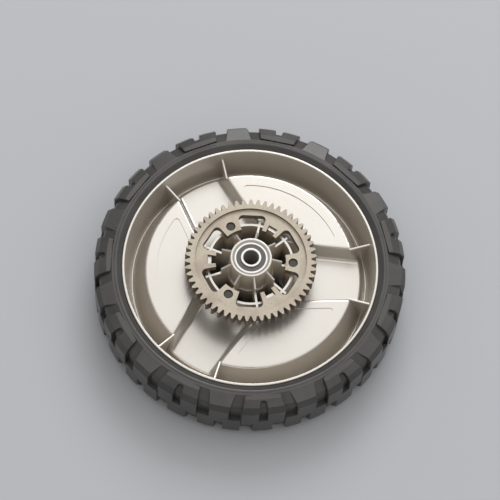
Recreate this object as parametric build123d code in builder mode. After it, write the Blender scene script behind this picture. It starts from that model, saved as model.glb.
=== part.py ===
from build123d import *

import os
from math import acos, cos, degrees, pi, radians, sin, tan

# Drive wheel of a self-propelled lawn mower, in millimetres.
# The wheel lies on its outer face with the drive gear up. The axle line is the Z axis, and Z = 0 is
# the plane that the tyre lies on. "Inboard" is the gear side and "outboard" the side that lies down.

# Tyre: one rubber ring, with plain and notched lugs in turn along both shoulders
tyre_diameter = 203.2
tyre_width = 44.0
tyre_height = 18.1
bead_set_back = 3.0
ridge_reach = 4.9
ridge_width = 2.6
ridge_height = 2.2
sidewall_set_back = 1.0
sidewall_reach = 6.7
tread_depth = 3.0
tread_land = 30.0
shoulder_drop = 2.8
shoulder_rise = 4.0
lug_pairs = 11
lug_lap = 3.0
plain_lug_foot = 11.7
plain_lug_tip = 6.4
notched_lug_foot = 14.4
notched_lug_tip = 16.6
notched_lug_inset = 0.9
notched_lug_land = 2.6
notch_foot = 3.2
notch_mouth = 6.8
notch_depth = 7.0
notch_round = 1.3
lug_round = 0.6
sidewall_round = 1.5
tread_turn = 1.7

# Wheel rim: one moulding, with a barrel, a stepped disc, three channels and a ribbed hub
lip_set_back = 2.0
lip_thickness = 1.7
lip_round_share = 0.3
barrel_draft = 4.2
key_rib_height = 2.4
key_rib_width = 9.0
key_rib_flank = 1.2
moulding_wall = 2.8
plateau_depth = 7.7
plateau_margin = 15.0
plateau_round = 2.0
island_draft = 21.5
channel_count = 3
channel_depth = 20.4
channel_width_hub = 40.0
channel_width_edge = 34.8
channel_draft = 12.0
channel_round = 2.5
moat_depth = 28.0
moat_floor = 1.1036
moat_round = 0.5
moat_rib_angle = 15.1
moat_rib_thickness = 1.5
moat_rib_rise = 1.6
rib_round = 0.5
panel_margin = 7.5
panel_side_margin = 6.0
panel_hub_margin = 7.2
panel_recess = 0.6
panel_corner = 2.0
feature_turn = 3.1

# Hub of the moulding
boss_rise = 13.1
boss_wall = 2.5
boss_round = 0.4
boss_lead_in = 1.2
boss_flare = 0.9
boss_ledge = 0.8
hub_end_height = 6.0
ring_wall_radius = 28.6
ring_wall_thickness = 1.5
hub_rib_count = 9
hub_rib_thickness = 1.4
hub_rib_drop = 0.6
hub_rib_fall = 4.5
hub_rib_step_set_in = 2.6
hub_rib_nub = 2.0
key_rise = 3.3
key_overhang = 1.4
key_clearance = 0.2
screw_boss_radius = 5.2
screw_well_wall = 2.0

# Drive gear: a sintered ring, screwed to the hub
gear_teeth = 55
gear_module = 1.5
pressure_angle = 20.0
dedendum_factor = 1.25
gear_face_width = 8.9
gear_seat_rise = 1.9
gear_web = 5.1
gear_rim_proud = 2.0
gear_rim_wall = 3.0
pin_tab_reach = 4.2
notch_tab_reach = 1.6
gear_notch_set_in = 0.4
gear_notch_angle = 13.0
gear_pocket_margin = 2.6
gear_pocket_angle = 34.0
gear_pocket_corner = 3.0

# Screws that hold the gear
screw_radius = 3.0
screw_set_in = 1.1
screw_clearance = 0.2
screw_thread_gap = 0.05
screw_end_depth = 1.0
screw_end_chamfer = 0.5
screw_head_radius = 5.6
screw_head_height = 3.4
screw_flange = 1.0
screw_hex = 8.0
screw_well_clearance = 0.6

# Ball bearings, one at each end of the hub
axle_radius = 5.0
bearing_diameter = 22.0
bearing_width = 6.0
bearing_recess = 0.9
ball_radius = 1.5
ball_count = 9
ball_clearance = 0.04
inner_ring_wall = 1.5
outer_ring_wall = 1.7
ring_chamfer = 0.3
seal_thickness = 0.5
seal_inset = 0.15
seal_seat = 0.35
seal_lip_gap = 0.08
cage_gap = 0.35
cage_pocket_gap = 0.1
cage_back = 0.35
cage_prong = 0.4

# Sleeve that keeps the two inner rings apart
sleeve_wall = 1.4
sleeve_bore_gap = 0.1

# Heights
mid_height = tyre_width / 2
sidewall_height = tyre_width - sidewall_set_back
bead_height = tyre_width - bead_set_back
lip_height = tyre_width - lip_set_back
plateau_height = lip_height - plateau_depth
channel_height = lip_height - channel_depth
moat_height = lip_height - moat_depth
moat_back = moat_height - moulding_wall
channel_back = channel_height - moulding_wall
boss_height = lip_height + boss_rise
gear_seat_height = lip_height + gear_seat_rise
gear_web_height = gear_seat_height + gear_web
gear_height = gear_web_height + gear_rim_proud
inboard_bearing_height = boss_height - bearing_recess - bearing_width
outboard_bearing_height = hub_end_height + bearing_recess

# Radii
tyre_radius = tyre_diameter / 2
seat_radius = tyre_radius - tyre_height
sidewall_radius = seat_radius + sidewall_reach
groove_radius = tyre_radius - tread_depth
lip_inner_radius = seat_radius - lip_thickness
barrel_back_radius = lip_inner_radius - barrel_draft
plateau_radius = seat_radius - plateau_margin
island_slope = tan(radians(island_draft))
island_foot_radius = plateau_radius + (plateau_height - moat_height) * island_slope
moat_outer_radius = island_foot_radius + moat_floor
bearing_radius = bearing_diameter / 2
boss_radius = bearing_radius + boss_wall
boss_foot_radius = boss_radius + boss_flare + boss_ledge
hub_bore_radius = bearing_radius - outer_ring_wall
ring_wall_inner = ring_wall_radius - ring_wall_thickness
key_inner_radius = ring_wall_inner - key_overhang
screw_circle = ring_wall_radius - screw_set_in
screw_well_radius = screw_head_radius + screw_well_clearance
pitch_radius = gear_module * gear_teeth / 2
tooth_tip_radius = pitch_radius + gear_module
tooth_root_radius = pitch_radius - dedendum_factor * gear_module
gear_rim_radius = tooth_root_radius - gear_rim_wall
gear_pocket_radius = gear_rim_radius - gear_pocket_margin
gear_notch_radius = ring_wall_radius - gear_notch_set_in
notch_tab_radius = ring_wall_inner - notch_tab_reach
pin_tab_radius = ring_wall_inner - pin_tab_reach
hub_rib_step_radius = pin_tab_radius - hub_rib_step_set_in
panel_inner_radius = ring_wall_radius + panel_hub_margin

# Angles
channel_pitch = 360 / channel_count
key_turn = feature_turn + channel_pitch / 2
tab_pitch = channel_pitch / 2
key_angle = gear_notch_angle - 2 * degrees(key_clearance / gear_notch_radius)

os.makedirs("parts", exist_ok=True)


def polar(radius, angle):
    """Point at a radius and an angle in degrees round the axle."""
    return (radius * cos(radians(angle)), radius * sin(radians(angle)))


def wedge(inner_radius, outer_radius, inner_angle, outer_angle):
    """Corners of a wedge on the X axis, with its full angle at each end."""
    return [
        polar(inner_radius, -inner_angle / 2),
        polar(outer_radius, -outer_angle / 2),
        polar(outer_radius, outer_angle / 2),
        polar(inner_radius, inner_angle / 2),
    ]


# Tyre lugs: outlines seen along the axle, cut to the shape of the shoulder and tread
lug_reach = tyre_radius + tread_depth
lug_pitch = 360 / lug_pairs
shoulder_radius = tyre_radius - shoulder_drop
shoulder_height = mid_height + tread_land / 2 + shoulder_rise
notched_lug_radius = sidewall_radius + notched_lug_inset

with BuildSketch() as plain_lug:
    Polygon(*wedge(sidewall_radius - ridge_width / 2, lug_reach, plain_lug_foot, plain_lug_tip), align=None)

with BuildSketch() as lug_notch:
    Polygon(
        (tyre_radius - notch_depth, -notch_foot / 2),
        (lug_reach, -notch_mouth / 2),
        (lug_reach, notch_mouth / 2),
        (tyre_radius - notch_depth, notch_foot / 2),
        align=None,
    )
    fillet(lug_notch.vertices().group_by(Axis.X)[0], notch_round)

with BuildSketch() as notched_lug:
    Polygon(*wedge(notched_lug_radius, lug_reach, notched_lug_foot, notched_lug_tip), align=None)
    add(lug_notch.sketch, mode=Mode.SUBTRACT)


def lug_section(face_height, land_radius):
    """Section of the lugs of the gear side, from past the tread's middle to the face of the sidewall."""
    return [
        (seat_radius, mid_height - lug_lap),
        (tyre_radius, mid_height - lug_lap),
        (tyre_radius, mid_height + tread_land / 2),
        (shoulder_radius, shoulder_height - sidewall_height + face_height),
        (land_radius, face_height),
        (seat_radius, face_height),
    ]


def flank_edges(lug):
    """Edges along the flanks of a lug on the X axis, where they stand clear of the sidewall."""
    flanks = lug.faces().filter_by(lambda face: abs(face.normal_at().Y) > 0.5)
    middles = [(edge, edge.position_at(0.5)) for edge in flanks.edges()]
    return [edge for edge, middle in middles if middle.X > sidewall_radius and middle.Z > mid_height]


with BuildPart() as plain_lug_block:
    with BuildSketch(Plane.XY.offset(mid_height - lug_lap)):
        add(plain_lug.sketch)
    extrude(amount=tyre_width)
    with BuildSketch(Plane.XZ):
        Polygon(*lug_section(sidewall_height, sidewall_radius), align=None)
    revolve(axis=Axis.Z, mode=Mode.INTERSECT)
    fillet(flank_edges(plain_lug_block), lug_round)

with BuildPart() as notched_lug_block:
    with BuildSketch(Plane.XY.offset(mid_height - lug_lap)):
        add(notched_lug.sketch)
    extrude(amount=tyre_width)
    with BuildSketch(Plane.XZ):
        Polygon(*lug_section(tyre_width, notched_lug_radius + notched_lug_land), align=None)
    revolve(axis=Axis.Z, mode=Mode.INTERSECT)
    fillet(flank_edges(notched_lug_block), lug_round)

with BuildPart() as tyre_lugs:
    with PolarLocations(0, lug_pairs, start_angle=tread_turn):
        add(plain_lug_block.part)
    with PolarLocations(0, lug_pairs, start_angle=tread_turn + lug_pitch / 2):
        add(notched_lug_block.part)

# Tyre: the carcass between the lugs, with its bead, sidewall ridge and the groove for the rim's rib
with BuildPart() as tyre:
    with BuildSketch(Plane.XZ) as carcass:
        with BuildLine():
            Polyline(
                (seat_radius, mid_height),
                (seat_radius, bead_height),
                (seat_radius + ridge_reach - ridge_width / 2, bead_height + ridge_height),
                (seat_radius + ridge_reach, bead_height + ridge_height),
                (sidewall_radius - ridge_width / 2, sidewall_height),
                (sidewall_radius, sidewall_height),
                (shoulder_radius - tread_depth / 2, shoulder_height - tread_depth / 2),
                (groove_radius, mid_height + tread_land / 2),
                (groove_radius, mid_height),
                close=True,
            )
        make_face()
        ridge_edge = (seat_radius + ridge_reach - ridge_width / 2, bead_height + ridge_height)
        fillet(carcass.vertices().sort_by_distance(ridge_edge)[0], sidewall_round)
        mirror(about=Plane.XZ.offset(-mid_height))
        with Locations((seat_radius, mid_height)):
            Trapezoid(
                key_rib_width,
                key_rib_height,
                degrees(acos(key_rib_flank / (key_rib_flank**2 + key_rib_height**2) ** 0.5)),
                rotation=-90,
                align=(Align.CENTER, Align.MIN),
                mode=Mode.SUBTRACT,
            )
    revolve(axis=Axis.Z)
    add(tyre_lugs.part)
    outboard_lugs = mirror(tyre_lugs.part, about=Plane.XY.offset(mid_height), mode=Mode.PRIVATE)
    add(outboard_lugs, rotation=(0, 0, lug_pitch / 2))

tyre.part.label = "tyre"
export_step(tyre.part, "parts/tyre.step")

# Hollow behind the disc, which leaves the moulding an even wall under the plateaus and channels
channel_end = seat_radius
channel_taper = (channel_width_hub - channel_width_edge) / (plateau_radius - ring_wall_radius)
channel_start_width = channel_width_hub + channel_taper * ring_wall_radius
channel_end_width = channel_width_edge - channel_taper * (channel_end - plateau_radius)
hollow_top = plateau_height - moulding_wall
hollow_slant = moulding_wall * (1 / cos(radians(island_draft)) - island_slope)
hollow_radius = plateau_radius - hollow_slant
hollow_foot_radius = hollow_radius + (hollow_top - moat_back) * island_slope


def channel_outline(margin):
    """Corners of a channel at the level of the plateaus, widened by a margin on each side."""
    return [
        (0, -channel_start_width / 2 - margin),
        (channel_end, -channel_end_width / 2 - margin),
        (channel_end, channel_end_width / 2 + margin),
        (0, channel_start_width / 2 + margin),
    ]


with BuildPart() as disc_hollow:
    with BuildSketch(Plane.XZ):
        with BuildLine():
            Polyline(
                (ring_wall_radius, moat_back),
                (hollow_foot_radius, moat_back),
                (hollow_radius, hollow_top),
                (ring_wall_radius, hollow_top),
                close=True,
            )
        make_face()
    revolve(axis=Axis.Z)
    with BuildSketch(Plane.XY.offset(plateau_height)):
        with PolarLocations(0, channel_count, start_angle=feature_turn):
            Polygon(*channel_outline(moulding_wall), align=None)
    extrude(amount=channel_back - plateau_height, taper=channel_draft, mode=Mode.SUBTRACT)

# One of the ribs between the bearing boss and the ring wall, stepped down to the gear's seat
with BuildPart() as hub_rib:
    with BuildSketch(Plane.XZ):
        with BuildLine():
            Polyline(
                (bearing_radius, moat_height),
                (bearing_radius, boss_height - hub_rib_drop),
                (hub_rib_step_radius, boss_height - hub_rib_drop - hub_rib_fall),
                (hub_rib_step_radius, gear_seat_height),
                (ring_wall_radius + hub_rib_nub, gear_seat_height),
                (ring_wall_radius + hub_rib_nub, plateau_height),
                (ring_wall_inner, moat_height),
                close=True,
            )
        make_face()
    extrude(amount=hub_rib_thickness / 2, both=True)
    side_edges = hub_rib.faces().filter_by(Axis.Y).edges()
    fillet(side_edges.filter_by(lambda edge: edge.center().Z > gear_seat_height + rib_round), rib_round)

# One of the ribs across the moat, from a corner of a plateau to the barrel
with BuildPart() as moat_rib:
    with BuildSketch(Plane.XZ):
        with BuildLine():
            Polyline(
                (plateau_radius - moulding_wall / 2, plateau_height),
                (lip_inner_radius, plateau_height + moat_rib_rise),
                (lip_inner_radius, moat_back),
                (island_foot_radius - moulding_wall, moat_back),
                close=True,
            )
        make_face()
    extrude(amount=moat_rib_thickness / 2, both=True)
    side_edges = moat_rib.faces().filter_by(Axis.Y).edges()
    fillet(side_edges.filter_by(lambda edge: edge.center().Z > plateau_height), rib_round)

# Panel that is sunk into each plateau
with BuildSketch() as panel:
    Circle(plateau_radius - panel_margin)
    Circle(panel_inner_radius, mode=Mode.SUBTRACT)
    with PolarLocations(0, channel_count, start_angle=feature_turn):
        Polygon(*channel_outline(panel_side_margin), align=None, mode=Mode.SUBTRACT)
    corner_radius = panel_inner_radius + panel_corner
    outer_corners = panel.vertices().filter_by(lambda v: v.center().length > corner_radius)
    fillet(outer_corners, panel_corner)


def seat_section(end_height, inward):
    """Section of a bearing's seat in an end of the hub; inward is 1 or -1 along the axle."""
    bearing_face = end_height + inward * bearing_recess
    seat_bottom = bearing_face + inward * bearing_width
    return [
        (hub_bore_radius, end_height),
        (bearing_radius + boss_lead_in, end_height),
        (bearing_radius, bearing_face),
        (bearing_radius, seat_bottom),
        (hub_bore_radius, seat_bottom),
    ]


# Wheel rim: the disc and its channels first, then the barrel, and the hub on top of both
with BuildPart() as wheel_rim:
    with BuildSketch(Plane.XZ):
        with BuildLine():
            Polyline(
                (hub_bore_radius, moat_back),
                (island_foot_radius + moulding_wall * island_slope, moat_back),
                (island_foot_radius, moat_height),
                (plateau_radius, plateau_height),
                (hub_bore_radius, plateau_height),
                close=True,
            )
        make_face()
    revolve(axis=Axis.Z)
    with BuildSketch(Plane.XY.offset(plateau_height)):
        with PolarLocations(0, channel_count, start_angle=feature_turn):
            Polygon(*channel_outline(0), align=None)
    extrude(amount=channel_height - plateau_height, taper=channel_draft, mode=Mode.SUBTRACT)
    level_lines = wheel_rim.edges().filter_by(GeomType.LINE).filter_by(Plane.XY)
    fillet(level_lines.group_by(Axis.Z)[0], channel_round)
    level_lines = wheel_rim.edges().filter_by(GeomType.LINE).filter_by(Plane.XY)
    island_edges = wheel_rim.faces().filter_by(GeomType.CONE).edges()
    island_curves = island_edges.filter_by(GeomType.LINE, reverse=True)
    upper_curves = island_curves.filter_by(lambda edge: edge.center().Z > moat_height)
    fillet(level_lines.group_by(Axis.Z)[-1] + upper_curves, plateau_round)
    add(disc_hollow.part, mode=Mode.SUBTRACT)
    with BuildSketch(Plane.XY.offset(plateau_height)):
        add(panel.sketch)
    extrude(amount=-panel_recess, mode=Mode.SUBTRACT)

    # Well of the hub, which the boss, floor and ribs then stand in
    with BuildSketch(Plane.XY):
        Circle(ring_wall_inner)
    extrude(amount=boss_height, mode=Mode.SUBTRACT)

    # Barrel with its two thin lips, the floor of the moat and the rib that keys the tyre
    with BuildSketch(Plane.XZ) as barrel:
        with BuildLine():
            Polyline(
                (seat_radius, lip_set_back),
                (seat_radius, mid_height - key_rib_width / 2),
                (seat_radius + key_rib_height, mid_height - key_rib_width / 2 + key_rib_flank),
                (seat_radius + key_rib_height, mid_height + key_rib_width / 2 - key_rib_flank),
                (seat_radius, mid_height + key_rib_width / 2),
                (seat_radius, lip_height),
                (lip_inner_radius, lip_height),
                (moat_outer_radius, moat_height),
                (island_foot_radius, moat_height),
                (island_foot_radius, moat_back),
                (barrel_back_radius, moat_back),
                (lip_inner_radius, lip_set_back),
                close=True,
            )
        make_face()
        fillet(barrel.vertices().group_by(Axis.Y)[-1], lip_thickness * lip_round_share)
        fillet(barrel.vertices().group_by(Axis.Y)[0], lip_thickness * lip_round_share)
        fillet(barrel.vertices().sort_by_distance((moat_outer_radius, moat_height))[0], moat_round)
    revolve(axis=Axis.Z)
    circles = wheel_rim.edges().filter_by(GeomType.CIRCLE)
    fillet(circles.sort_by(lambda edge: abs(edge.radius - island_foot_radius))[0], moat_round)
    with PolarLocations(0, channel_count, start_angle=feature_turn - moat_rib_angle):
        add(moat_rib.part)
    with PolarLocations(0, channel_count, start_angle=feature_turn + moat_rib_angle):
        add(moat_rib.part)

    # Boss for the bearings, the floor of the hub and the ring wall that the gear sits on
    with BuildSketch(Plane.XZ) as boss:
        with BuildLine():
            Polyline(
                (hub_bore_radius, hub_end_height),
                (boss_radius, hub_end_height),
                (boss_foot_radius, moat_back),
                (boss_foot_radius, plateau_height),
                (boss_foot_radius - boss_ledge, plateau_height),
                (boss_radius, boss_height),
                (hub_bore_radius, boss_height),
                close=True,
            )
        make_face()
        fillet(boss.vertices().group_by(Axis.X)[1], boss_round)
        with Locations((boss_radius, moat_back)):
            Rectangle(ring_wall_inner - boss_radius, moulding_wall, align=Align.MIN)
        with Locations((ring_wall_inner, moat_back)):
            Rectangle(ring_wall_thickness, gear_seat_height - moat_back, align=Align.MIN)
    revolve(axis=Axis.Z)
    with PolarLocations(0, hub_rib_count, start_angle=feature_turn):
        add(hub_rib.part)

    # Keys that stand in the notches of the gear
    with BuildSketch(Plane.XY.offset(gear_seat_height - key_rise)):
        with PolarLocations(0, channel_count, start_angle=key_turn):
            Polygon(
                *wedge(key_inner_radius, gear_notch_radius - key_clearance, key_angle, key_angle),
                align=None,
            )
    extrude(amount=2 * key_rise)

    # Screw bosses under the gear, with wells for the heads below the hub's floor
    with BuildSketch(Plane.XY.offset(channel_back)):
        with PolarLocations(screw_circle, channel_count, start_angle=feature_turn):
            Circle(screw_boss_radius)
    extrude(amount=gear_seat_height - channel_back)
    with BuildSketch(Plane.XY.offset(moat_back)):
        with PolarLocations(screw_circle, channel_count, start_angle=feature_turn):
            Circle(screw_well_radius + screw_well_wall)
    extrude(amount=channel_height - moat_back)
    with BuildSketch(Plane.XY.offset(channel_back)):
        with PolarLocations(screw_circle, channel_count, start_angle=feature_turn):
            Circle(screw_well_radius)
    extrude(amount=moat_back - channel_back, mode=Mode.SUBTRACT)
    with BuildSketch(Plane.XY.offset(gear_seat_height)):
        with PolarLocations(screw_circle, channel_count, start_angle=feature_turn):
            Circle(screw_radius + screw_clearance)
    extrude(amount=moat_back - gear_seat_height, mode=Mode.SUBTRACT)

    # Seats of the two bearings, with a lead-in at each mouth
    with BuildSketch(Plane.XZ):
        Polygon(*seat_section(boss_height, -1), align=None)
        Polygon(*seat_section(hub_end_height, 1), align=None)
    revolve(axis=Axis.Z, mode=Mode.SUBTRACT)

wheel_rim.part.label = "wheel_rim"
export_step(wheel_rim.part, "parts/wheel_rim.step")

# Drive gear: involute teeth on a rim, and a web whose inner edge has six pockets between its tabs
base_radius = pitch_radius * cos(radians(pressure_angle))


def tooth_half_angle(radius):
    """Half of a tooth's angle at a radius, in degrees, along the involute."""
    flank = acos(base_radius / radius)
    pitch_flank = radians(pressure_angle)
    return degrees(pi / (2 * gear_teeth) + tan(pitch_flank) - pitch_flank - tan(flank) + flank)


with BuildSketch() as tooth:
    with BuildLine():
        half_angles = [tooth_half_angle(r) for r in (tooth_root_radius, pitch_radius, tooth_tip_radius)]
        near_root, near_pitch, near_tip = [
            polar(r, -a) for r, a in zip((tooth_root_radius, pitch_radius, tooth_tip_radius), half_angles)
        ]
        far_root, far_pitch, far_tip = [(x, -y) for x, y in (near_root, near_pitch, near_tip)]
        ThreePointArc(near_root, near_pitch, near_tip)
        Line(near_tip, far_tip)
        ThreePointArc(far_tip, far_pitch, far_root)
        Polyline(far_root, (gear_rim_radius, 0), near_root)
    make_face()

with BuildSketch() as gear_pocket:
    Polygon(
        *wedge(boss_radius, gear_pocket_radius, gear_pocket_angle, gear_pocket_angle),
        align=None,
    )
    fillet(gear_pocket.vertices().group_by(Axis.X)[-1], gear_pocket_corner)

with BuildPart() as drive_gear:
    with BuildSketch(Plane.XY.offset(gear_height - gear_face_width)):
        Circle(tooth_root_radius)
        with PolarLocations(0, gear_teeth, start_angle=feature_turn):
            add(tooth.sketch)
        Circle(gear_rim_radius, mode=Mode.SUBTRACT)
    extrude(amount=gear_face_width)
    with BuildSketch(Plane.XY.offset(gear_seat_height)):
        Circle(gear_rim_radius)
        Circle(pin_tab_radius, mode=Mode.SUBTRACT)
        with PolarLocations(0, 2 * channel_count, start_angle=feature_turn + tab_pitch / 2):
            add(gear_pocket.sketch, mode=Mode.SUBTRACT)
        with PolarLocations(0, channel_count, start_angle=key_turn):
            Polygon(
                *wedge(boss_radius, notch_tab_radius, tab_pitch, tab_pitch),
                align=None,
                mode=Mode.SUBTRACT,
            )
            Polygon(
                *wedge(boss_radius, gear_notch_radius, gear_notch_angle, gear_notch_angle),
                align=None,
                mode=Mode.SUBTRACT,
            )
        with PolarLocations(screw_circle, channel_count, start_angle=feature_turn):
            Circle(screw_radius + screw_thread_gap, mode=Mode.SUBTRACT)
    extrude(amount=gear_web)

drive_gear.part.label = "drive_gear"
export_step(drive_gear.part, "parts/drive_gear.step")

# Gear screws: hexagon heads in the wells of the hub, ends showing in the gear's tabs
with BuildPart() as gear_screw:
    with BuildSketch(Plane.XY.offset(channel_back)):
        Circle(screw_radius)
    extrude(amount=gear_web_height - screw_end_depth - channel_back)
    chamfer(gear_screw.edges().group_by(Axis.Z)[-1], screw_end_chamfer)
    with BuildSketch(Plane.XY.offset(channel_back)):
        Circle(screw_head_radius)
    extrude(amount=-screw_flange)
    with BuildSketch(Plane.XY.offset(channel_back)):
        RegularPolygon(screw_hex / 2, 6, major_radius=False)
    extrude(amount=-screw_head_height)

with BuildPart() as gear_screws:
    with PolarLocations(screw_circle, channel_count, start_angle=feature_turn):
        add(gear_screw.part)

gear_screws.part.label = "gear_screws"
export_step(gear_screws.part, "parts/gear_screws.step")

# Ball bearings: rings with a groove for the balls, a crown cage and a seal on each side
land_inner = axle_radius + inner_ring_wall
land_outer = bearing_radius - outer_ring_wall
seal_radius = land_outer + seal_seat
groove_round = ball_radius + ball_clearance
ball_centre = (land_inner + land_outer) / 2


def build_bearing(side, base, proud_up, proud_down):
    """One bearing on its base height; its inner ring stands proud of the outer ring at one end."""
    middle = base + bearing_width / 2
    top = base + bearing_width

    with BuildPart() as outer_ring:
        with BuildSketch(Plane.XZ) as section:
            with Locations((land_outer, base)):
                Rectangle(bearing_radius - land_outer, bearing_width, align=Align.MIN)
            chamfer(section.vertices().group_by(Axis.X)[-1], ring_chamfer)
            for seal_base in (base, top - seal_inset - seal_thickness):
                with Locations((land_outer, seal_base)):
                    Rectangle(seal_seat, seal_inset + seal_thickness, align=Align.MIN, mode=Mode.SUBTRACT)
            with Locations((ball_centre, middle)):
                Circle(groove_round, mode=Mode.SUBTRACT)
        revolve(axis=Axis.Z)

    with BuildPart() as inner_ring:
        with BuildSketch(Plane.XZ) as section:
            with Locations((axle_radius, base - proud_down)):
                Rectangle(inner_ring_wall, bearing_width + proud_up + proud_down, align=Align.MIN)
            chamfer(section.vertices().group_by(Axis.X)[0], ring_chamfer)
            with Locations((ball_centre, middle)):
                Circle(groove_round, mode=Mode.SUBTRACT)
        revolve(axis=Axis.Z)

    with BuildPart() as balls:
        with Locations((0, 0, middle)):
            with PolarLocations(ball_centre, ball_count, start_angle=feature_turn):
                Sphere(ball_radius)

    pocket_round = ball_radius + cage_pocket_gap
    with BuildPart() as cage:
        with BuildSketch(Plane.XY.offset(middle - cage_prong)):
            Circle(land_outer - cage_gap)
            Circle(land_inner + cage_gap, mode=Mode.SUBTRACT)
        extrude(amount=cage_prong + pocket_round + cage_back)
        with Locations((0, 0, middle)):
            with PolarLocations(ball_centre, ball_count, start_angle=feature_turn):
                Sphere(pocket_round, mode=Mode.SUBTRACT)

    pieces = {"outer_ring": outer_ring, "inner_ring": inner_ring, "balls": balls, "cage": cage}
    seal_bases = {"lower_seal": base + seal_inset, "upper_seal": top - seal_inset - seal_thickness}
    for face, seal_base in seal_bases.items():
        with BuildPart() as seal:
            with BuildSketch(Plane.XY.offset(seal_base)):
                Circle(seal_radius)
                Circle(land_inner + seal_lip_gap, mode=Mode.SUBTRACT)
            extrude(amount=seal_thickness)
        pieces[face] = seal

    for name, piece in pieces.items():
        piece.part.label = f"{side}_{name}"
        export_step(piece.part, f"parts/{side}_{name}.step")


build_bearing("inboard", inboard_bearing_height, bearing_recess, 0)
build_bearing("outboard", outboard_bearing_height, 0, bearing_recess)

# Spacer sleeve between the inner rings
with BuildPart() as spacer_sleeve:
    with BuildSketch(Plane.XY.offset(outboard_bearing_height + bearing_width)):
        Circle(axle_radius + sleeve_wall)
        Circle(axle_radius + sleeve_bore_gap, mode=Mode.SUBTRACT)
    extrude(amount=inboard_bearing_height - outboard_bearing_height - bearing_width)

spacer_sleeve.part.label = "spacer_sleeve"
export_step(spacer_sleeve.part, "parts/spacer_sleeve.step")
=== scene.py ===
"""Looks of a lawn mower's drive wheel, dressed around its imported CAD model."""

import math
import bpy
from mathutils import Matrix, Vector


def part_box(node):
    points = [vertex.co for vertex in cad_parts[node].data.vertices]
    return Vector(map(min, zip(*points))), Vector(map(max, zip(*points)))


bl_info = {
    "name": "Mower Drive Wheel",
    "version": (1, 0, 0),
    "blender": (4, 5, 0),
    "location": "3D View > Sidebar > Wheel",
    "description": "Gives a mower drive wheel its rubber, moulded plastic, sintered metal and bearing steel",
    "category": "Object",
}

import bpy
from bpy.props import FloatProperty, FloatVectorProperty, PointerProperty
from mathutils import Matrix, Vector

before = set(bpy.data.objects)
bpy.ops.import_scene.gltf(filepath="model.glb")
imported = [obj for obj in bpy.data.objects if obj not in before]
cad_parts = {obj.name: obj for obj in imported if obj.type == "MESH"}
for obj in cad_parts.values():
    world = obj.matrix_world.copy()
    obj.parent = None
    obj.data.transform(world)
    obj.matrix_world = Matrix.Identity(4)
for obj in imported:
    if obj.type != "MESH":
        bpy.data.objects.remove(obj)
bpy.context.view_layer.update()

MM = 0.001

# The rim's plastic: its metallic share where the flakes lie flat and where they don't, how much of that
# change, and of the walls' painted lighter colour, the walls outside the hub show, and the rise of a face's
# normal at which it is flat or a wall
FLAKE_SHINE = 0.75
DULL_SHINE = 0.1
WALL_DULL_AND_LIT = 0.4
FLAT_RISE = 0.7
WALL_RISE = 0.3

# Painted shade in the hub's wells starts below the gear's seat and then grows to its full share
HUB_EDGE = 0.2 * MM
HUB_SHADE_DROP = 8 * MM
HUB_SHADE_DEPTH = 16 * MM
HUB_SHADE_SHARE = 0.85

# Share of the screws' colour that is left in the dark parts of their skin
SKIN_SHADE = 0.7

# Radians by which the Wave texture turns for each unit of its scale
WAVE_TURN = 20.0

# Warm light from the room, and square softboxes: place and width in metres, and watts
ROOM_COLOUR = (1.0, 0.965, 0.92, 1.0)
ROOM_STRENGTH = 0.52
SOFTBOXES = {
    "overhead_softbox": ((0.35, 0.6, 2.4), 3.8, 36),
    "back_softbox": ((0.2, 1.95, 1.85), 1.4, 26),
}

# Camera: the photo's width in pixels, the sensor's in millimetres, and the end of sight in metres
PHOTO_WIDTH = 500
SENSOR_WIDTH = 36.0
SIGHT_END = 100.0


def linear(hex_colour):
    """Linear red, green and blue of an sRGB hex colour."""
    channels = [int(hex_colour[i : i + 2], 16) / 255 for i in (1, 3, 5)]
    return [c / 12.92 if c <= 0.04045 else ((c + 0.055) / 1.055) ** 2.4 for c in channels]


def colour_property(label, description, hex_colour):
    """A colour in the sidebar, with its default written in sRGB."""
    return FloatVectorProperty(
        name=label, description=description, subtype="COLOR", size=3, min=0, max=1, default=linear(hex_colour)
    )


def length_property(label, description, millimetres):
    """A length in the sidebar, with its default written in millimetres."""
    return FloatProperty(
        name=label, description=description, unit="LENGTH", precision=5, min=0, default=millimetres * MM
    )


def angle_property(label, description, degrees):
    """An angle in the sidebar, with its default written in degrees."""
    return FloatProperty(name=label, description=description, subtype="ANGLE", default=math.radians(degrees))


def pixel_property(label, description, pixels):
    """A distance in the photo, in pixels."""
    return FloatProperty(name=label, description=description, default=pixels)


# Sizes and colours that a user would change


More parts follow.
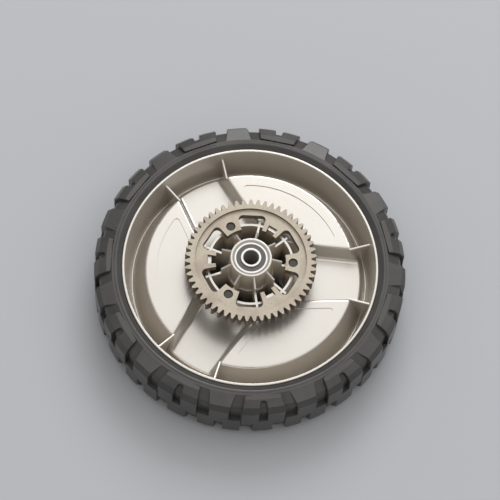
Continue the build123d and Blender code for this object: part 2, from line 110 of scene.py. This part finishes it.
class WheelFinish(bpy.types.PropertyGroup):
    """Colours and grain sizes of the wheel's materials."""

    rubber: colour_property("Tyre rubber", "Colour of the moulded tyre", "#343332")
    rubber_bloom: colour_property("Rubber bloom", "Greyer patches where wax has surfaced", "#434240")
    bloom_size: length_property("Bloom size", "Size of the greyer patches on the tyre", 24.0)
    rubber_grain: length_property("Rubber grain", "Size of the grain that the tyre mould leaves", 0.7)
    plastic: colour_property("Rim plastic", "Colour of the moulded rim", "#cbc8c3")
    plastic_shade: colour_property("Rim plastic shade", "Darker clouds where the melt flowed", "#c3bfb8")
    # Painted light: a lighter, warmer colour on the upright walls
    plastic_wall_light: colour_property("Rim walls, painted light", "Dull plastic on the upright walls, painted lighter and warmer", "#d4c9ba")
    plastic_flow: length_property("Flow marks", "Size of the clouds in the moulded rim", 38.0)
    plastic_grain: length_property("Rim grain", "Size of the satin grain on the rim", 0.9)
    # Painted shade: a dark colour laid on the bottom of the hub's wells
    hub_painted_shade: colour_property("Hub painted shade", "Painted shade that darkens the deep wells of the hub", "#3a342c")
    hub_radius: length_property("Hub radius", "Inside of the ring wall round the hub's wells", 27.2)
    sinter: colour_property("Sintered metal", "Colour of the drive gear's pressed faces", "#b4ab9b")
    # Painted shade for the gear's upright faces
    sinter_flank_shade: colour_property("Flank painted shade", "Painted shade on the gear's upright faces", "#6e6457")
    sinter_stain: colour_property("Sinter stains", "Browner patches of uneven passivation", "#a3968a")
    stain_size: length_property("Stain size", "Size of the browner patches on the gear", 16.0)
    sinter_pore: colour_property("Sinter pores", "Colour of the pores between the pressed grains", "#93887a")
    sinter_grain: length_property("Sinter grain", "Size of the pressed grains", 0.8)
    screw: colour_property("Screw steel", "Colour of the dark screws", "#3f3a36")
    screw_skin: length_property("Screw skin", "Size of the uneven patches in the screws' oxide skin", 1.2)
    ring: colour_property("Ring steel", "Colour of the bearings' ground rings", "#cfccc8")
    ring_pitch: length_property("Grinding lines", "Spacing of the grinding lines on the rings", 2.2)
    ball: colour_property("Ball steel", "Colour of the polished balls", "#e4e4e4")
    nylon: colour_property("Cage nylon", "Colour of the cages that space the balls", "#d9cfb5")
    seal: colour_property("Seal rubber", "Colour of the bearings' seals", "#525250")
    sleeve: colour_property("Sleeve steel", "Colour of the tube between the bearings", "#b5b2ad")


class WheelStage(bpy.types.PropertyGroup):
    """The floor and the camera."""

    floor: colour_property("Floor", "Colour of the pale floor", "#b3b6bb")
    floor_size: length_property("Floor size", "Width of the floor", 12000.0)
    elevation: angle_property("Elevation", "How steeply the camera looks down", 66.6)
    roll: angle_property("Roll", "How far the camera leans", 5.3)
    distance: length_property("Distance", "From the camera to the rim's lip", 1600.0)
    lens: FloatProperty(name="Lens", description="Focal length of the camera", unit="CAMERA", default=177.1)
    target_height: length_property("Target height", "Height of the aimed point on the axle line", 42.0)
    target_shift: pixel_property("Target shift", "Pixels from the frame's centre right to that point", 0.4)
    target_drop: pixel_property("Target drop", "Pixels from the frame's centre down to that point", 15.1)


def finish():
    """The sidebar's settings for the materials."""
    return bpy.context.scene.wheel_finish


# Shader nodes


def opaque(colour):
    """A colour with full alpha."""
    return (*colour, 1.0)


def add_node(tree, kind, settings=None, links=None):
    """Adds a shader node, with its attributes or input values, and what feeds its inputs."""
    node = tree.nodes.new("ShaderNode" + kind)
    for key, value in (settings or {}).items():
        if isinstance(key, str) and hasattr(node, key):
            setattr(node, key, value)
        else:
            node.inputs[key].default_value = value
    for key, source in (links or {}).items():
        tree.links.new(source, node.inputs[key])
    return node


def start_material(name, shader_settings):
    """A new material with its shader and Object coordinates."""
    material = bpy.data.materials.new(name)
    material.use_nodes = True
    tree = material.node_tree
    tree.nodes.clear()
    shader = add_node(tree, "BsdfPrincipled", shader_settings)
    add_node(tree, "OutputMaterial", links={"Surface": shader.outputs["BSDF"]})
    place = add_node(tree, "TexCoord").outputs["Object"]
    return material, tree, shader, place


def clouds(tree, place, size, detail, roughness=0.5):
    """A noise whose clouds have this size in metres."""
    settings = {"Scale": 1.0 / size, "Detail": detail, "Roughness": roughness}
    return add_node(tree, "TexNoise", settings, {"Vector": place}).outputs["Fac"]


def ramp(tree, value, start, end, low=0.0, high=1.0):
    """Runs from low to high while the value runs from start to end."""
    settings = {"From Min": start, "From Max": end, "To Min": low, "To Max": high}
    return add_node(tree, "MapRange", settings, {"Value": value}).outputs["Result"]


def product(tree, first, second):
    """Two values multiplied."""
    return add_node(tree, "Math", {"operation": "MULTIPLY"}, {0: first, 1: second}).outputs["Value"]


def blend(tree, share, first, second):
    """Goes from the first to the second as the share grows: each is a colour or the output of a node."""
    settings, links = {"data_type": "RGBA"}, {"Factor": share}
    for socket, source in (("A", first), ("B", second)):
        if isinstance(source, bpy.types.NodeSocket):
            links[socket] = source
        else:
            settings[socket] = opaque(source)
    return add_node(tree, "Mix", settings, links).outputs["Result"]


def normal_rise(tree):
    """How far a face's normal rises: 1 on a face that looks up, 0 on an upright wall."""
    facing = add_node(tree, "TexCoord").outputs["Normal"]
    return add_node(tree, "SeparateXYZ", links={"Vector": facing}).outputs["Z"]


def axle_distance(tree, place):
    """Distance from the axle line."""
    flat = add_node(tree, "VectorMath", {"operation": "MULTIPLY", 1: (1, 1, 0)}, {0: place})
    length = add_node(tree, "VectorMath", {"operation": "LENGTH"}, {0: flat.outputs["Vector"]})
    return length.outputs["Value"]


def add_bump(tree, shader, height, strength, depth):
    """Roughens the shader's surface by a pattern of this depth in metres."""
    bump = add_node(tree, "Bump", {"Strength": strength, "Distance": depth}, {"Height": height})
    tree.links.new(bump.outputs["Normal"], shader.inputs["Normal"])


def dress(node_names, material):
    """Gives CAD nodes their material."""
    for name in node_names:
        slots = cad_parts[name].data.materials
        slots.clear()
        slots.append(material)


# Materials


def tyre_rubber():
    """Natural and styrene rubber pressed in a steel mould: dark, grainy, with a dull sheen and pale bloom."""
    look = finish()
    material, tree, shader, place = start_material("moulded_tyre_rubber", {"Roughness": 0.3, "IOR": 1.52})
    patches = clouds(tree, place, look.bloom_size, detail=5.0, roughness=0.6)
    bloom = ramp(tree, patches, 0.35, 0.7)
    tone = blend(tree, bloom, look.rubber, look.rubber_bloom)
    tree.links.new(tone, shader.inputs["Base Color"])
    grain = clouds(tree, place, look.rubber_grain, detail=3.0)
    add_bump(tree, shader, grain, strength=0.25, depth=0.1 * MM)
    return material


def rim_plastic():
    """Silver-grey polypropylene from a satin mould: flow clouds, dull walls whose colour is painted lighter,
    painted shade deep in the hub.
    """
    look = finish()
    material, tree, shader, place = start_material("silver_pigmented_polypropylene", {"IOR": 1.49})
    flow = clouds(tree, place, look.plastic_flow, detail=3.0)
    moulded = blend(tree, flow, look.plastic, look.plastic_shade)

    # Upright walls are duller than the faces that look up, most of all inside the hub; their colour is also
    # painted lighter and warmer, a painted light
    in_hub = ramp(tree, axle_distance(tree, place), look.hub_radius, look.hub_radius - HUB_EDGE)
    wall = ramp(tree, normal_rise(tree), FLAT_RISE, WALL_RISE)
    dull_and_lit = product(tree, ramp(tree, in_hub, 0.0, 1.0, low=WALL_DULL_AND_LIT), wall)
    flakes = ramp(tree, dull_and_lit, 0.0, 1.0, low=FLAKE_SHINE, high=DULL_SHINE)
    tree.links.new(flakes, shader.inputs["Metallic"])
    wall_lit = blend(tree, dull_and_lit, moulded, look.plastic_wall_light)

    # Painted shade darkens the hub's wells towards their bottom
    height = add_node(tree, "SeparateXYZ", links={"Vector": place}).outputs["Z"]
    shade_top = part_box("drive_gear")[0][2] - HUB_SHADE_DROP
    depth = ramp(tree, height, shade_top, shade_top - HUB_SHADE_DEPTH, high=HUB_SHADE_SHARE)
    tone = blend(tree, product(tree, in_hub, depth), wall_lit, look.hub_painted_shade)
    tree.links.new(tone, shader.inputs["Base Color"])

    grain = clouds(tree, place, look.plastic_grain, detail=2.0)
    gloss = ramp(tree, grain, 0.3, 0.7, low=0.25, high=0.27)
    tree.links.new(gloss, shader.inputs["Roughness"])
    add_bump(tree, shader, grain, strength=0.01, depth=0.01 * MM)
    return material


def sintered_metal():
    """Iron powder pressed and sintered, passivated to a sand colour: pores, stains, and painted shade on the
    upright flanks.
    """
    look = finish()
    material, tree, shader, place = start_material(
        "passivated_sintered_iron", {"Roughness": 0.5, "Metallic": 0.25}
    )
    stain = ramp(tree, clouds(tree, place, look.stain_size, detail=4.0), 0.45, 0.65)
    pressed = blend(tree, stain, look.sinter, look.sinter_stain)
    # Painted shade: upright faces take a darker colour than the faces that look up
    flank_shaded = blend(tree, normal_rise(tree), look.sinter_flank_shade, pressed)
    grain = clouds(tree, place, look.sinter_grain, detail=3.0)
    pores = ramp(tree, grain, 0.42, 0.3)
    tone = blend(tree, pores, flank_shaded, look.sinter_pore)
    tree.links.new(tone, shader.inputs["Base Color"])
    add_bump(tree, shader, grain, strength=0.3, depth=0.05 * MM)
    return material


def screw_steel():
    """Carbon steel with a black oxide skin, rolled and slightly uneven."""
    look = finish()
    material, tree, shader, place = start_material("black_oxide_steel", {"Roughness": 0.45, "Metallic": 0.3})
    skin = clouds(tree, place, look.screw_skin, detail=3.0)
    tone = blend(tree, skin, look.screw, [channel * SKIN_SHADE for channel in look.screw])
    tree.links.new(tone, shader.inputs["Base Color"])
    return material


def ring_steel():
    """Chromium steel, ground bright: fine lines run round the axle and widen the highlights."""
    look = finish()
    material, tree, shader, place = start_material(
        "ground_bearing_steel", {"Base Color": opaque(look.ring), "Roughness": 0.4, "Metallic": 0.75}
    )
    rings = {"wave_type": "RINGS", "rings_direction": "Z", "Distortion": 0.0}
    scale = math.tau / (WAVE_TURN * look.ring_pitch)
    lines = add_node(tree, "TexWave", {**rings, "Scale": scale}, {"Vector": place})
    add_bump(tree, shader, lines.outputs["Fac"], strength=0.08, depth=0.02 * MM)
    return material


def plain_material(name, colour, shader_settings, grain_size, grain_depth):
    """A one-colour material with a fine grain."""
    material, tree, shader, place = start_material(name, {**shader_settings, "Base Color": opaque(colour)})
    add_bump(tree, shader, clouds(tree, place, grain_size, detail=2.0), strength=0.1, depth=grain_depth)
    return material


# One operator for each piece or group of like pieces


class WHEEL_OT_tyre(bpy.types.Operator):
    """Gives the tyre its rubber"""

    bl_idname = "wheel.tyre"
    bl_label = "Tyre"

    def execute(self, context):
        dress(["tyre"], tyre_rubber())
        return {"FINISHED"}


class WHEEL_OT_rim(bpy.types.Operator):
    """Gives the moulded rim its plastic"""

    bl_idname = "wheel.rim"
    bl_label = "Wheel rim"

    def execute(self, context):
        dress(["wheel_rim"], rim_plastic())
        return {"FINISHED"}


class WHEEL_OT_gear(bpy.types.Operator):
    """Gives the drive gear its sintered metal"""

    bl_idname = "wheel.gear"
    bl_label = "Drive gear"

    def execute(self, context):
        dress(["drive_gear"], sintered_metal())
        return {"FINISHED"}


class WHEEL_OT_screws(bpy.types.Operator):
    """Gives the gear's screws their dark steel"""

    bl_idname = "wheel.screws"
    bl_label = "Gear screws"

    def execute(self, context):
        dress(["gear_screws"], screw_steel())
        return {"FINISHED"}


class WHEEL_OT_bearings(bpy.types.Operator):
    """Gives the rings, balls, cages and seals of both bearings their materials"""

    bl_idname = "wheel.bearings"
    bl_label = "Bearings"

    def execute(self, context):
        look = finish()
        sides = ("inboard", "outboard")
        dress([f"{side}_{ring}_ring" for side in sides for ring in ("outer", "inner")], ring_steel())
        polished = plain_material(
            "polished_ball_steel", look.ball, {"Metallic": 1.0, "Roughness": 0.06}, 0.5 * MM, 0.001 * MM
        )
        dress([f"{side}_balls" for side in sides], polished)
        nylon = plain_material(
            "natural_nylon", look.nylon, {"Roughness": 0.45, "IOR": 1.53}, 0.6 * MM, 0.02 * MM
        )
        dress([f"{side}_cage" for side in sides], nylon)
        nitrile = plain_material(
            "moulded_nitrile_rubber", look.seal, {"Roughness": 0.5, "IOR": 1.52}, 0.3 * MM, 0.02 * MM
        )
        dress([f"{side}_{face}_seal" for side in sides for face in ("lower", "upper")], nitrile)
        return {"FINISHED"}


class WHEEL_OT_sleeve(bpy.types.Operator):
    """Gives the tube between the bearings its drawn steel"""

    bl_idname = "wheel.sleeve"
    bl_label = "Spacer sleeve"

    def execute(self, context):
        drawn = plain_material(
            "drawn_steel_tube", finish().sleeve, {"Metallic": 0.5, "Roughness": 0.6}, 0.5 * MM, 0.02 * MM
        )
        dress(["spacer_sleeve"], drawn)
        return {"FINISHED"}


class WHEEL_OT_stage(bpy.types.Operator):
    """Sets the floor, the soft light and the camera"""

    bl_idname = "wheel.stage"
    bl_label = "Stage"

    def execute(self, context):
        stage = context.scene.wheel_stage
        self.add_floor(stage)
        self.add_light()
        self.add_camera(stage)
        context.scene.view_settings.view_transform = "Standard"
        return {"FINISHED"}

    def add_floor(self, stage):
        bpy.ops.mesh.primitive_plane_add(size=stage.floor_size)
        floor = bpy.context.object
        floor.name = "floor"
        floor.data.materials.append(
            plain_material("matt_paper_floor", stage.floor, {"Roughness": 0.9}, 5 * MM, 0.02 * MM)
        )

    def add_light(self):
        world = bpy.data.worlds.new("studio")
        world.use_nodes = True
        room = world.node_tree.nodes["Background"]
        room.inputs["Color"].default_value = ROOM_COLOUR
        room.inputs["Strength"].default_value = ROOM_STRENGTH
        bpy.context.scene.world = world
        for name, (place, width, watts) in SOFTBOXES.items():
            self.add_lamp(name, place, width, watts)

    def add_lamp(self, name, place, width, watts):
        lamp = bpy.data.lights.new(name, "AREA")
        lamp.shape = "SQUARE"
        lamp.size = width
        lamp.energy = watts
        light = bpy.data.objects.new(name, lamp)
        light.location = place
        light.rotation_euler = (-Vector(place)).to_track_quat("-Z", "Y").to_euler()
        bpy.context.scene.collection.objects.link(light)

    def add_camera(self, stage):
        lens = bpy.data.cameras.new("camera")
        lens.lens = stage.lens
        lens.sensor_width = SENSOR_WIDTH
        lens.clip_end = SIGHT_END
        camera = bpy.data.objects.new("camera", lens)
        back = Vector((0, -math.cos(stage.elevation), math.sin(stage.elevation)))
        turn = (-back).to_track_quat("-Z", "Y").to_matrix() @ Matrix.Rotation(stage.roll, 3, "Z")
        metres_a_pixel = stage.distance * lens.sensor_width / lens.lens / PHOTO_WIDTH
        offset = turn @ Vector((-stage.target_shift, stage.target_drop, 0)) * metres_a_pixel
        target = Vector((0, 0, stage.target_height))
        camera.matrix_world = Matrix.LocRotScale(target + back * stage.distance + offset, turn, None)
        bpy.context.scene.collection.objects.link(camera)
        bpy.context.scene.camera = camera


class WHEEL_PT_sidebar(bpy.types.Panel):
    """Lists the wheel's pieces and its settings"""

    bl_idname = "WHEEL_PT_sidebar"
    bl_label = "Drive wheel"
    bl_space_type = "VIEW_3D"
    bl_region_type = "UI"
    bl_category = "Wheel"

    def draw(self, context):
        for operator in PIECES:
            self.layout.operator(operator.bl_idname)
        for group in (context.scene.wheel_finish, context.scene.wheel_stage):
            box = self.layout.box()
            for name in group.__annotations__:
                box.prop(group, name)


PIECES = (
    WHEEL_OT_tyre,
    WHEEL_OT_rim,
    WHEEL_OT_gear,
    WHEEL_OT_screws,
    WHEEL_OT_bearings,
    WHEEL_OT_sleeve,
    WHEEL_OT_stage,
)
CLASSES = (WheelFinish, WheelStage, *PIECES, WHEEL_PT_sidebar)


def register():
    for cls in CLASSES:
        bpy.utils.register_class(cls)
    bpy.types.Scene.wheel_finish = PointerProperty(type=WheelFinish)
    bpy.types.Scene.wheel_stage = PointerProperty(type=WheelStage)


def unregister():
    del bpy.types.Scene.wheel_stage
    del bpy.types.Scene.wheel_finish
    for cls in reversed(CLASSES):
        bpy.utils.unregister_class(cls)


def main():
    register()
    bpy.ops.wheel.tyre()
    bpy.ops.wheel.rim()
    bpy.ops.wheel.gear()
    bpy.ops.wheel.screws()
    bpy.ops.wheel.bearings()
    bpy.ops.wheel.sleeve()
    bpy.ops.wheel.stage()


if __name__ == "__main__":
    main()
